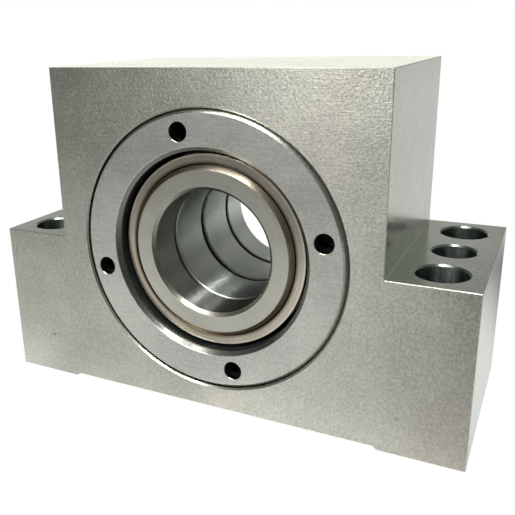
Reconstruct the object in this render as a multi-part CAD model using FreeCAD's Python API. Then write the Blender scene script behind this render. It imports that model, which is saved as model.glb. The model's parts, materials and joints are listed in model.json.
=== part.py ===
import FreeCAD, Part
import math
import os

# Ball screw support bearing in millimetres: a ground steel block round a pair of angular contact bearings.
# X runs across the block, Y along the screw axis from the front face to the rear face, Z up from the feet.
# The origin lies on the plane of the feet, midway between the foot bolts.

# Bearings
SHAFT_DIAMETER = 30.0
BEARING_SECTION = 16.0  # radial height of a bearing, from its bore to its outside
BEARING_WIDTH = 15.0
BEARING_CORNER = 1.5  # rounded outer corners of the outer rings
BEARING_BORE_CHAMFER = 1.15
BALL_DIAMETER = 7.144
BALL_BAR = 1.8  # least room between two balls
CONTACT_ANGLE = 60.0  # degrees, from the plane of the balls to the line of contact
RACEWAY_CONFORMITY = 0.52  # raceway radius over ball diameter
RACEWAY_CLEARANCE = 0.04  # between ball and raceway on the line of contact
HIGH_SHOULDER = 0.8  # from the pitch circle to the shoulder that takes the thrust
LOW_SHOULDER = 2.8  # from the pitch circle to the open shoulder
CAGE_CONE = 12.5  # degrees, slope of the cage between the two high shoulders
CAGE_THICKNESS = 2.2
CAGE_RIM = 1.3  # cage material beyond the ball pockets at each side
POCKET_CLEARANCE = 0.12

# Collars that clamp the inner rings, alike at both ends
COLLAR_LENGTH = 10.0
COLLAR_WALL = 5.7
COLLAR_NOSE_CHAMFER = 1.05
COLLAR_BORE_CHAMFER = 0.8
COLLAR_JOINT_CHAMFER = 0.6
COLLAR_RECESS = 1.8  # front collar's face behind the front face of the block

# Labyrinth seal rings round the collars
SEAL_FIT = 0.01
SEAL_WALL = 2.56
SEAL_SETBACK = 1.05  # seal ring's face behind the collar's face
SEAL_BEARING_GAP = 0.6
SEAL_FACE_SLOPE = 2.0  # degrees, by which the face falls away towards its edge
SEAL_EDGE_CHAMFER = 0.1
SEAL_CREVICE = 0.35  # chamfer that leaves a dark line round the collar
LABYRINTH_GAP = 0.98
LABYRINTH_GROOVE_WIDTH = 1.2
LABYRINTH_GROOVE_DEPTH = 0.8
LABYRINTH_LAND = 1.2

# Retaining ring, screwed into the front of the block
RING_STEP = 2.6  # thread radius beyond the bearing seat
RING_THREAD_CLEARANCE = 0.05
RING_OUTER_CHAMFER = 1.0
RING_BORE_CHAMFER = 0.95
RING_NOSE_LENGTH = 1.6  # reaches into the bearing seat and presses on the outer ring
RING_NOSE_CLEARANCE = 0.3
SPANNER_HOLE_COUNT = 4
SPANNER_HOLE_DIAMETER = 4.4
SPANNER_HOLE_DEPTH = 6.0
SPANNER_HOLE_CHAMFER = 0.15
SPANNER_HOLE_POINT = 0.5  # depth of the conical bottom over the hole's radius
SPANNER_HOLE_ANGLE = 12.5  # degrees from the horizontal to the first hole

# Block
SEAT_CLEARANCE = 0.01  # round the bearing outer rings
RING_BORE_RUNOUT = 0.8  # ring bore deeper than the ring's thread
RUNOUT_GROOVE_WIDTH = 1.5
RUNOUT_GROOVE_DEPTH = 0.6
BLOCK_BORE_CHAMFER = 0.4
REAR_WALL = 8.2  # shoulder behind the bearings
REAR_BORE_CHAMFER = 1.2
SIDE_WALL = 7.4  # from the ring bore to the sides of the upper block
TOP_WALL = 8.4
BASE_WALL = 6.4
SHOULDER_WIDTH = 19.0
SHOULDER_HEIGHT = 40.0
SHOULDER_FILLET = 0.3
EDGE_BREAK = 0.15
FOOT_WIDTH = 18.7
RELIEF_DEPTH = 0.85
BOLT_HOLE_DIAMETER = 11.0
DOWEL_HOLE_DIAMETER = 9.7
HOLE_CHAMFER = 0.4
BOLT_FROM_SIDE = 9.0
BOLT_FROM_END = 9.0

# Sizes that follow; every depth is measured back from the front face of the block
SHAFT_R = SHAFT_DIAMETER / 2
SEAT_R = SHAFT_R + BEARING_SECTION
PITCH_R = SHAFT_R + BEARING_SECTION / 2
BALL_R = BALL_DIAMETER / 2
BALL_COUNT = int(2 * math.pi * PITCH_R / (BALL_DIAMETER + BALL_BAR))
RACEWAY_R = RACEWAY_CONFORMITY * BALL_DIAMETER
COLLAR_R = SHAFT_R + COLLAR_WALL
SEAL_R = COLLAR_R + SEAL_FIT + SEAL_WALL
RING_INNER_R = SEAL_R + LABYRINTH_GAP
RING_BORE_R = SEAT_R + RING_STEP
RING_R = RING_BORE_R - RING_THREAD_CLEARANCE

COLLAR_END = COLLAR_RECESS + COLLAR_LENGTH
BEARING_JOINT = COLLAR_END + BEARING_WIDTH
SEAT_END = BEARING_JOINT + BEARING_WIDTH
BLOCK_DEPTH = SEAT_END + REAR_WALL
FRONT_BALLS = COLLAR_END + BEARING_WIDTH / 2

BLOCK_HALF = RING_BORE_R + SIDE_WALL
BASE_HALF = BLOCK_HALF + SHOULDER_WIDTH
CENTRE_HEIGHT = BASE_WALL + RING_BORE_R
BLOCK_HEIGHT = CENTRE_HEIGHT + RING_BORE_R + TOP_WALL
FRONT_Y = -BLOCK_DEPTH / 2

AXIS_POINT = FreeCAD.Vector(0, 0, CENTRE_HEIGHT)
ALONG_AXIS = FreeCAD.Vector(0, 1, 0)
UP = FreeCAD.Vector(0, 0, 1)
OVERCUT = 1.0  # how far a cutter reaches past the faces that it opens


def section_point(radius, depth):
    """Point of a turned piece's section, beside the screw axis."""
    return FreeCAD.Vector(radius, FRONT_Y + depth, CENTRE_HEIGHT)


def turned(start, *moves):
    """Solid turned about the screw axis from a section of (radius, depth) points.

    A move is the end point of a straight line, or a pair of points that an arc passes through and ends at.
    """
    edges = []
    here = section_point(*start)
    for move in moves + (start,):
        if isinstance(move[0], tuple):
            through = section_point(*move[0])
            end = section_point(*move[1])
            edges.append(Part.Arc(here, through, end).toShape())
        else:
            end = section_point(*move)
            edges.append(Part.LineSegment(here, end).toShape())
        here = end
    return Part.Face(Part.Wire(edges)).revolve(AXIS_POINT, ALONG_AXIS, 360)


def end_for_end(shape):
    """The same piece turned round to the rear half of the bearing stack."""
    copy = shape.copy()
    copy.rotate(FreeCAD.Vector(0, FRONT_Y + BEARING_JOINT, 0), UP, 180)
    return copy


def on_circle(radius, depth, degrees):
    """Point on a circle about the screw axis."""
    angle = math.radians(degrees)
    x = radius * math.cos(angle)
    z = CENTRE_HEIGHT + radius * math.sin(angle)
    return FreeCAD.Vector(x, FRONT_Y + depth, z)


def raceway(side, facing):
    """Section of one raceway: its end on the low shoulder, its bottom and its end on the high shoulder.

    facing is -1 for the inner ring, whose raceway lies inside the balls, and 1 for the outer ring.
    side is the end, -1 front or 1 rear, on which that ring's high shoulder stands.
    """
    angle = math.radians(CONTACT_ANGLE)
    offset = RACEWAY_R - BALL_R - RACEWAY_CLEARANCE
    centre_r = PITCH_R - facing * offset * math.cos(angle)
    centre_depth = FRONT_BALLS - side * offset * math.sin(angle)

    def on_raceway(radius, end):
        reach = math.sqrt(RACEWAY_R ** 2 - (radius - centre_r) ** 2)
        return radius, centre_depth + end * reach

    low = on_raceway(PITCH_R + facing * LOW_SHOULDER, -side)
    high = on_raceway(PITCH_R + facing * HIGH_SHOULDER, side)
    bottom = (centre_r + facing * RACEWAY_R, centre_depth)
    return low, bottom, high


def bearing_inner_ring():
    """Inner ring of the front bearing, with its high shoulder towards the rear."""
    low, bottom, high = raceway(1, -1)
    low_r, high_r = low[0], high[0]
    mouth_r = SHAFT_R + BEARING_BORE_CHAMFER
    return turned(
        (low_r, COLLAR_END),
        low,
        (bottom, high),
        (high_r, BEARING_JOINT),
        (mouth_r, BEARING_JOINT),
        (SHAFT_R, BEARING_JOINT - BEARING_BORE_CHAMFER),
        (SHAFT_R, COLLAR_END + BEARING_BORE_CHAMFER),
        (mouth_r, COLLAR_END),
    )


def bearing_outer_ring():
    """Outer ring of the front bearing, with its high shoulder in front and rounded outer corners."""
    low, bottom, high = raceway(-1, 1)
    low_r, high_r = low[0], high[0]
    face_r = SEAT_R - BEARING_CORNER
    cut = BEARING_CORNER * (1 - math.sqrt(0.5))
    rear_corner = ((SEAT_R - cut, BEARING_JOINT - cut), (SEAT_R, BEARING_JOINT - BEARING_CORNER))
    front_corner = ((SEAT_R - cut, COLLAR_END + cut), (face_r, COLLAR_END))
    return turned(
        (high_r, COLLAR_END),
        high,
        (bottom, low),
        (low_r, BEARING_JOINT),
        (face_r, BEARING_JOINT),
        rear_corner,
        (SEAT_R, COLLAR_END + BEARING_CORNER),
        front_corner,
    )


def ball_angles():
    """Angles of the balls round the screw axis in degrees, the first half a step above the horizontal."""
    return [360.0 * (index + 0.5) / BALL_COUNT for index in range(BALL_COUNT)]


def ball_at(radius, degrees):
    """Ball centred on the pitch circle of the front bearing, with its poles on the radial line."""
    centre = on_circle(PITCH_R, FRONT_BALLS, degrees)
    return Part.makeSphere(radius, centre, centre - on_circle(0, FRONT_BALLS, 0))


def bearing_cage():
    """Cage of the front bearing: a sloping band between the shoulders, with a round pocket for each ball."""
    half = BALL_R + POCKET_CLEARANCE + CAGE_RIM
    rise = half * math.tan(math.radians(CAGE_CONE))
    thin = CAGE_THICKNESS / 2
    band = turned(
        (PITCH_R - rise - thin, FRONT_BALLS - half),
        (PITCH_R - rise + thin, FRONT_BALLS - half),
        (PITCH_R + rise + thin, FRONT_BALLS + half),
        (PITCH_R + rise - thin, FRONT_BALLS + half),
    )
    return band.cut([ball_at(BALL_R + POCKET_CLEARANCE, angle) for angle in ball_angles()])


def collar():
    """Front collar: a sleeve with a chamfered nose that clamps the inner rings."""
    return turned(
        (SHAFT_R + COLLAR_BORE_CHAMFER, COLLAR_RECESS),
        (COLLAR_R - COLLAR_NOSE_CHAMFER, COLLAR_RECESS),
        (COLLAR_R, COLLAR_RECESS + COLLAR_NOSE_CHAMFER),
        (COLLAR_R, COLLAR_END),
        (SHAFT_R + COLLAR_JOINT_CHAMFER, COLLAR_END),
        (SHAFT_R, COLLAR_END - COLLAR_JOINT_CHAMFER),
        (SHAFT_R, COLLAR_RECESS + COLLAR_BORE_CHAMFER),
    )


def seal_ring():
    """Front seal ring: a slightly sloping face, grooved outside for the labyrinth, pressed on the collar."""
    inner_r = COLLAR_R + SEAL_FIT
    face = COLLAR_RECESS + SEAL_SETBACK
    back = COLLAR_END - SEAL_BEARING_GAP
    mouth_r = inner_r + SEAL_CREVICE
    edge_r = SEAL_R - SEAL_EDGE_CHAMFER
    edge = face + (edge_r - mouth_r) * math.tan(math.radians(SEAL_FACE_SLOPE))
    groove_r = SEAL_R - LABYRINTH_GROOVE_DEPTH
    pitch = LABYRINTH_GROOVE_WIDTH + LABYRINTH_LAND
    outside = []
    for index in range(int((back - face - LABYRINTH_LAND) / pitch)):
        start = face + LABYRINTH_LAND + index * pitch
        end = start + LABYRINTH_GROOVE_WIDTH
        outside += [(SEAL_R, start), (groove_r, start), (groove_r, end), (SEAL_R, end)]
    return turned(
        (mouth_r, face),
        (edge_r, edge),
        (SEAL_R, edge + SEAL_EDGE_CHAMFER),
        *outside,
        (SEAL_R, back),
        (inner_r, back),
        (inner_r, face + SEAL_CREVICE),
    )


def spanner_hole(degrees, circle_r):
    """Cutter for one blind pin-spanner hole in the face of the retaining ring."""
    radius = SPANNER_HOLE_DIAMETER / 2
    wide = radius + SPANNER_HOLE_CHAMFER + OVERCUT
    mouth = on_circle(circle_r, 0, degrees)
    lead_start = mouth - ALONG_AXIS * OVERCUT
    lead = Part.makeCone(wide, radius, wide - radius, lead_start, ALONG_AXIS)
    hole = Part.makeCylinder(radius, SPANNER_HOLE_DEPTH, mouth, ALONG_AXIS)
    bottom = mouth + ALONG_AXIS * SPANNER_HOLE_DEPTH
    point = Part.makeCone(radius, 0, radius * SPANNER_HOLE_POINT, bottom, ALONG_AXIS)
    return lead.fuse([hole, point])


def retaining_ring():
    """Ring screwed into the block, with a nose that presses on the front outer ring."""
    face_inner_r = RING_INNER_R + RING_BORE_CHAMFER
    face_outer_r = RING_R - RING_OUTER_CHAMFER
    nose_r = SEAT_R - RING_NOSE_CLEARANCE
    nose_start = COLLAR_END - RING_NOSE_LENGTH
    ring = turned(
        (face_inner_r, 0),
        (face_outer_r, 0),
        (RING_R, RING_OUTER_CHAMFER),
        (RING_R, nose_start),
        (nose_r, nose_start),
        (nose_r, COLLAR_END),
        (RING_INNER_R, COLLAR_END),
        (RING_INNER_R, RING_BORE_CHAMFER),
    )
    circle_r = (face_inner_r + face_outer_r) / 2
    step = 360.0 / SPANNER_HOLE_COUNT
    angles = [SPANNER_HOLE_ANGLE + step * index for index in range(SPANNER_HOLE_COUNT)]
    holes = [spanner_hole(angle, circle_r) for angle in angles]
    return ring.cut(holes)


def block_outline():
    """Front outline of the block on the plane of its front face, without the relief under it."""
    cut = SHOULDER_FILLET * (1 - math.sqrt(0.5))

    def point(x, z):
        return FreeCAD.Vector(x, FRONT_Y, z)

    def half(sign):
        return (
            point(sign * BASE_HALF, 0),
            point(sign * BASE_HALF, SHOULDER_HEIGHT),
            point(sign * (BLOCK_HALF + SHOULDER_FILLET), SHOULDER_HEIGHT),
            point(sign * (BLOCK_HALF + cut), SHOULDER_HEIGHT + cut),
            point(sign * BLOCK_HALF, SHOULDER_HEIGHT + SHOULDER_FILLET),
            point(sign * BLOCK_HALF, BLOCK_HEIGHT),
        )

    right = half(1)
    left = half(-1)
    return Part.Wire([
        Part.makePolygon(right[:3]),
        Part.Arc(*right[2:5]).toShape(),
        Part.makePolygon([right[4], right[5], left[5], left[4]]),
        Part.Arc(*left[2:5]).toShape(),
        Part.makePolygon([left[2], left[1], left[0], right[0]]),
    ])


def is_outer_edge(edge):
    """Whether an edge of the plain block is a convex one, to be broken."""
    middle = edge.CenterOfMass
    at_wall = abs(abs(middle.x) - BLOCK_HALF) < 2 * SHOULDER_FILLET
    at_shoulder = abs(middle.z - SHOULDER_HEIGHT) < 2 * SHOULDER_FILLET
    runs_back = edge.BoundBox.YLength > BLOCK_DEPTH / 2
    return not (at_wall and at_shoulder and runs_back)


def foot_relief():
    """Cutter for the shallow relief between the feet, with sloping ends."""
    low = BASE_HALF - FOOT_WIDTH + OVERCUT
    high = BASE_HALF - FOOT_WIDTH - RELIEF_DEPTH
    front = FRONT_Y - OVERCUT
    corners = [(-low, -OVERCUT), (low, -OVERCUT), (high, RELIEF_DEPTH), (-high, RELIEF_DEPTH)]
    points = [FreeCAD.Vector(x, front, z) for x, z in corners]
    outline = Part.makePolygon(points + points[:1])
    return Part.Face(outline).extrude(ALONG_AXIS * (BLOCK_DEPTH + 2 * OVERCUT))


def shoulder_hole(diameter, x, y):
    """Cutter for one vertical through hole with a chamfered mouth."""
    radius = diameter / 2
    wide = radius + HOLE_CHAMFER + OVERCUT
    hole = Part.makeCylinder(radius, SHOULDER_HEIGHT + 2 * OVERCUT, FreeCAD.Vector(x, y, -OVERCUT), UP)
    mouth = FreeCAD.Vector(x, y, SHOULDER_HEIGHT + OVERCUT)
    lead = Part.makeCone(wide, radius, wide - radius, mouth, -UP)
    return hole.fuse(lead)


def shoulder_holes():
    """Cutters for the feet: two bolt holes with a dowel hole between them in each shoulder."""
    bolt_x = BASE_HALF - BOLT_FROM_SIDE
    bolt_y = BLOCK_DEPTH / 2 - BOLT_FROM_END
    cutters = []
    for x in (-bolt_x, bolt_x):
        cutters.append(shoulder_hole(DOWEL_HOLE_DIAMETER, x, 0))
        for y in (-bolt_y, bolt_y):
            cutters.append(shoulder_hole(BOLT_HOLE_DIAMETER, x, y))
    return cutters


def stepped_bore():
    """Cutter for the ring bore with its thread run-out, the bearing seat and the rear bore."""
    seat_r = SEAT_R + SEAT_CLEARANCE
    ring_bore_end = COLLAR_END - RING_NOSE_LENGTH + RING_BORE_RUNOUT
    groove_start = ring_bore_end - RUNOUT_GROOVE_WIDTH
    groove_r = RING_BORE_R + RUNOUT_GROOVE_DEPTH
    return turned(
        (0, -OVERCUT),
        (RING_BORE_R + BLOCK_BORE_CHAMFER + OVERCUT, -OVERCUT),
        (RING_BORE_R, BLOCK_BORE_CHAMFER),
        (RING_BORE_R, groove_start),
        (groove_r, groove_start),
        (groove_r, ring_bore_end),
        (seat_r, ring_bore_end),
        (seat_r, SEAT_END),
        (RING_INNER_R, SEAT_END),
        (RING_INNER_R, BLOCK_DEPTH - REAR_BORE_CHAMFER),
        (RING_INNER_R + REAR_BORE_CHAMFER + OVERCUT, BLOCK_DEPTH + OVERCUT),
        (0, BLOCK_DEPTH + OVERCUT),
    )


def housing():
    """Ground block with broken edges, foot relief, shoulder holes and the stepped bore."""
    block = Part.Face(block_outline()).extrude(ALONG_AXIS * BLOCK_DEPTH)
    block = block.makeChamfer(EDGE_BREAK, [edge for edge in block.Edges if is_outer_edge(edge)])
    return block.cut([foot_relief(), stepped_bore()] + shoulder_holes())


def bearing_pieces():
    """Pieces of the front bearing by name."""
    pieces = {
        "inner_ring": bearing_inner_ring(),
        "outer_ring": bearing_outer_ring(),
        "cage": bearing_cage(),
    }
    for number, angle in enumerate(ball_angles(), 1):
        pieces[f"ball_{number:02d}"] = ball_at(BALL_R, angle)
    return pieces


def all_pieces():
    """Every piece of the support bearing by node name."""
    pieces = {
        "housing": housing(),
        "retaining_ring": retaining_ring(),
        "front_collar": collar(),
        "rear_collar": end_for_end(collar()),
        "front_seal_ring": seal_ring(),
        "rear_seal_ring": end_for_end(seal_ring()),
    }
    for name, shape in bearing_pieces().items():
        pieces["front_bearing_" + name] = shape
        pieces["rear_bearing_" + name] = end_for_end(shape)
    return pieces


os.makedirs("parts", exist_ok=True)
for node, solid in all_pieces().items():
    solid.exportStep(f"parts/{node}.step")
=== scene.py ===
"""Looks of a ball screw support bearing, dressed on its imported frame.

Sizes are in metres. X runs across the block, Y along the screw axis from the front face to the rear, and Z up
from the feet. Turned pieces are outlines of (radius, y) carried round the screw axis. The block keeps its own
solid.
"""

import json
import logging
import math
from abc import ABC, abstractmethod
from collections.abc import Sequence
from dataclasses import dataclass, field
from enum import Enum
from functools import cached_property

import bpy
import numpy as np
from mathutils import Matrix, Vector


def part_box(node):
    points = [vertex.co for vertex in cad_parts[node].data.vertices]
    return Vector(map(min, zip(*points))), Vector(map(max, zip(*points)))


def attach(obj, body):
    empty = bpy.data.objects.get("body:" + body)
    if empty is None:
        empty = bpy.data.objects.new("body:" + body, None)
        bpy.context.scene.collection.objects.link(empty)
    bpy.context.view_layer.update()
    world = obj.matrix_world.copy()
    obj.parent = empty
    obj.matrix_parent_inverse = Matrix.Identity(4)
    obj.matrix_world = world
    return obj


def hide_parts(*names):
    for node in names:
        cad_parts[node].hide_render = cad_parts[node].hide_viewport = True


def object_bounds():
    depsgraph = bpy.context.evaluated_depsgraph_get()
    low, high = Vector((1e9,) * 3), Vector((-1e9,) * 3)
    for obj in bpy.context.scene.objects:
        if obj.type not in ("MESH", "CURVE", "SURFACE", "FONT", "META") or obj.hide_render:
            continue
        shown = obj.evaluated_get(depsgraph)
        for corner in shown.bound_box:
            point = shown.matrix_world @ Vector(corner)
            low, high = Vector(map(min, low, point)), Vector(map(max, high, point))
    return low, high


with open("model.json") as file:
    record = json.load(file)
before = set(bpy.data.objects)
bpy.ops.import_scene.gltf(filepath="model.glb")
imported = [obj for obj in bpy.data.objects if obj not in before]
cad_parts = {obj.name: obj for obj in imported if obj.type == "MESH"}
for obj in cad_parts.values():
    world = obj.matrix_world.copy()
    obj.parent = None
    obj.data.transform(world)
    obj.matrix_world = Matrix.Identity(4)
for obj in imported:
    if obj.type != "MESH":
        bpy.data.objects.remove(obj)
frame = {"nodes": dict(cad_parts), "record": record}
CAD_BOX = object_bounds()

LOG = logging.getLogger("support_bearing")
MM = 0.001
MOUNTS = {mount["name"]: mount for mount in frame["record"]["mounts"]}
SHAFT_R = MOUNTS["shaft_bore"]["dims"]["r_mm"] * MM
AXIS_Z = MOUNTS["shaft_bore"]["pos_m"][2]
WELD = 1e-7  # points of a surface closer than this are one
PANEL_POWER = 4.0  # watts for each square metre of a panel at a brightness of 1

Colour = tuple[float, float, float]
Corner = tuple[float, float, float]
Border = tuple[float, float]
Socket = bpy.types.NodeSocket
Number = Socket | float
Tone = Socket | Colour

FRONT, BACK = (corner.y / MM for corner in CAD_BOX)  # millimetres along the axis
WHITE: Colour = (1.0, 1.0, 1.0)
BORE_GLOSS = {"roughness": 0.2, "edge_roughness": 0.2, "spread": 0.5, "tilt": 1.3}


class End(Enum):
    """The two ends of the bearing stack."""

    FRONT = "front"
    REAR = "rear"

    @property
    def inward(self) -> float:
        """Sign of Y that leads from this end into the stack."""
        return 1.0 if self is End.FRONT else -1.0


@dataclass
class Surface:
    """Smooth surface as points, outward unit normals and four-sided faces."""

    points: np.ndarray
    normals: np.ndarray
    faces: np.ndarray

    @staticmethod
    def from_grid(
        points: np.ndarray, normals: np.ndarray, round_rows: bool = False, round_columns: bool = False
    ) -> "Surface":
        """Surface over a grid of two parameters.

        Args:
            points: Grid of shape (rows, columns, 3).
            normals: Outward normals on the same grid.
            round_rows: Whether the last row meets the first.
            round_columns: Whether the last column meets the first.

        Returns:
            The surface, with every face wound to look along its normals.
        """
        rows, columns = points.shape[:2]
        index = np.arange(rows * columns).reshape(rows, columns)
        if round_rows:
            index = np.vstack([index, index[:1]])
        if round_columns:
            index = np.hstack([index, index[:, :1]])
        corners = (index[:-1, :-1], index[1:, :-1], index[1:, 1:], index[:-1, 1:])
        faces = np.stack(corners, axis=-1).reshape(-1, 4)
        return Surface(points.reshape(-1, 3), normals.reshape(-1, 3), faces).facing_out()

    @staticmethod
    def disc(ring: np.ndarray, normal: Corner) -> "Surface":
        """Flat disc inside a ring with an even count of points.

        The faces are a ladder whose rungs join each point i of one half with the point i before the last.

        Args:
            ring: Points of shape (count, 3).
            normal: The way that the disc looks.

        Returns:
            The disc.
        """
        rung = np.arange(len(ring) // 2 - 1)
        last = len(ring) - 1 - rung
        faces = np.stack([rung, rung + 1, last - 1, last], axis=1)
        return Surface(ring, np.broadcast_to(normal, ring.shape), faces).facing_out()

    @staticmethod
    def joined(parts: Sequence["Surface"]) -> "Surface":
        """One surface from several, with points that coincide made one.

        Args:
            parts: Surfaces whose borders share their points.

        Returns:
            The welded surface.
        """
        starts = np.cumsum([0] + [len(part.points) for part in parts[:-1]])
        points = np.vstack([part.points for part in parts])
        normals = np.vstack([part.normals for part in parts])
        faces = np.vstack([part.faces + start for part, start in zip(parts, starts)])
        keys = np.round(points / WELD).astype(np.int64)
        _, first, where = np.unique(keys, axis=0, return_index=True, return_inverse=True)
        return Surface(points[first], normals[first], where.reshape(-1)[faces])

    def facing_out(self) -> "Surface":
        """Winds each face so that the cross product of its diagonals agrees with its normals.

        Returns:
            The same surface.
        """
        corner = self.points[self.faces]
        cross = np.cross(corner[:, 2] - corner[:, 0], corner[:, 3] - corner[:, 1])
        inward = (cross * self.normals[self.faces].sum(axis=1)).sum(axis=1) < 0
        self.faces[inward] = self.faces[inward, ::-1]
        return self

    def make(self, name: str) -> bpy.types.Object:
        """Puts the surface into a mesh object at the origin.

        Args:
            name: The object's name.

        Returns:
            The linked object, shaded with the surface's own normals.
        """
        mesh = bpy.data.meshes.new(name)
        mesh.vertices.add(len(self.points))
        mesh.vertices.foreach_set("co", self.points.astype(np.float32).ravel())
        mesh.loops.add(self.faces.size)
        mesh.loops.foreach_set("vertex_index", self.faces.astype(np.int32).ravel())
        mesh.polygons.add(len(self.faces))
        mesh.polygons.foreach_set("loop_start", np.arange(0, self.faces.size, 4, dtype=np.int32))
        mesh.update(calc_edges=True)
        mesh.validate()
        mesh.normals_split_custom_set_from_vertices(self.normals.tolist())
        piece = bpy.data.objects.new(name, mesh)
        bpy.context.scene.collection.objects.link(piece)
        return piece


@dataclass(frozen=True)
class Outline:
    """Section of a turned piece in the plane of (radius, y), with material on the left of its way.

    Attributes:
        corners: Corners as (radius, y, round), where round is the radius of the corner's arc.
        closed: Whether the last corner leads back to the first.
        steps: Points on each arc.
    """

    corners: Sequence[Corner]
    closed: bool = True
    steps: int = 5

    def sampled(self) -> tuple[np.ndarray, np.ndarray]:
        """Points and outward normals along the outline.

        With a the direction of the edge before a corner and d the signed turn to the edge after it, the arc
        starts at A, its tangent length r tan(|d| / 2) before the corner. Its point at share t of the turn is
        A + s r (n(t) - n(0)), where n(t) is the right-hand normal of the direction a + t d and s is the sign
        of d.

        Returns:
            Arrays of shape (count, 2): the points and their normals.
        """
        corner = np.array([item[:2] for item in self.corners])
        rounds = np.array([item[2] for item in self.corners])
        ahead = np.roll(corner, -1, axis=0) - corner
        heading = np.arctan2(ahead[:, 1], ahead[:, 0])
        if not self.closed:
            heading[-1] = heading[-2]
        before = np.roll(heading, 1)
        if not self.closed:
            before[0] = heading[0]
        turn = (heading - before + np.pi) % (2 * np.pi) - np.pi
        reach = rounds * np.tan(np.abs(turn) / 2)
        start = corner - reach[:, None] * np.stack([np.cos(before), np.sin(before)], axis=1)
        share = np.linspace(0, 1, self.steps)
        angle = before[:, None] + turn[:, None] * share
        normal = np.stack([np.sin(angle), -np.cos(angle)], axis=2)
        swing = (np.sign(turn) * rounds)[:, None, None] * (normal - normal[:, :1])
        points = (start[:, None] + swing).reshape(-1, 2)
        apart = np.linalg.norm(points - np.roll(points, 1, axis=0), axis=1) > WELD
        return points[apart], normal.reshape(-1, 2)[apart]

    def turned(self, angles: np.ndarray) -> Surface:
        """The outline carried round the screw axis.

        A point (radius, y) at angle q goes to (radius cos q, y, height of the axis + radius sin q).

        Args:
            angles: Angles of a full turn, in radians, without the closing one.

        Returns:
            The turned surface.
        """
        points, normals = self.sampled()
        return Surface.from_grid(around(points, angles), around(normals, angles, 0.0), True, self.closed)


def around(values: np.ndarray, angles: np.ndarray, height: float = AXIS_Z) -> np.ndarray:
    """Grid of (radius, y) values at each angle about the screw axis.

    Args:
        values: Pairs of shape (count, 2).
        angles: Angles in radians.
        height: Height of the axis, 0 for directions.

    Returns:
        Array of shape (angles, count, 3).
    """
    radius, along = values[:, 0], values[:, 1]
    return np.stack([
        np.outer(np.cos(angles), radius),
        np.broadcast_to(along, (len(angles), len(along))),
        height + np.outer(np.sin(angles), radius),
    ], axis=2)


def full_turn(count: int, first: float = 0.0) -> np.ndarray:
    """Evenly spaced angles of a full turn in radians, from the first one on."""
    return first + np.linspace(0, 2 * np.pi, count, endpoint=False)


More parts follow.
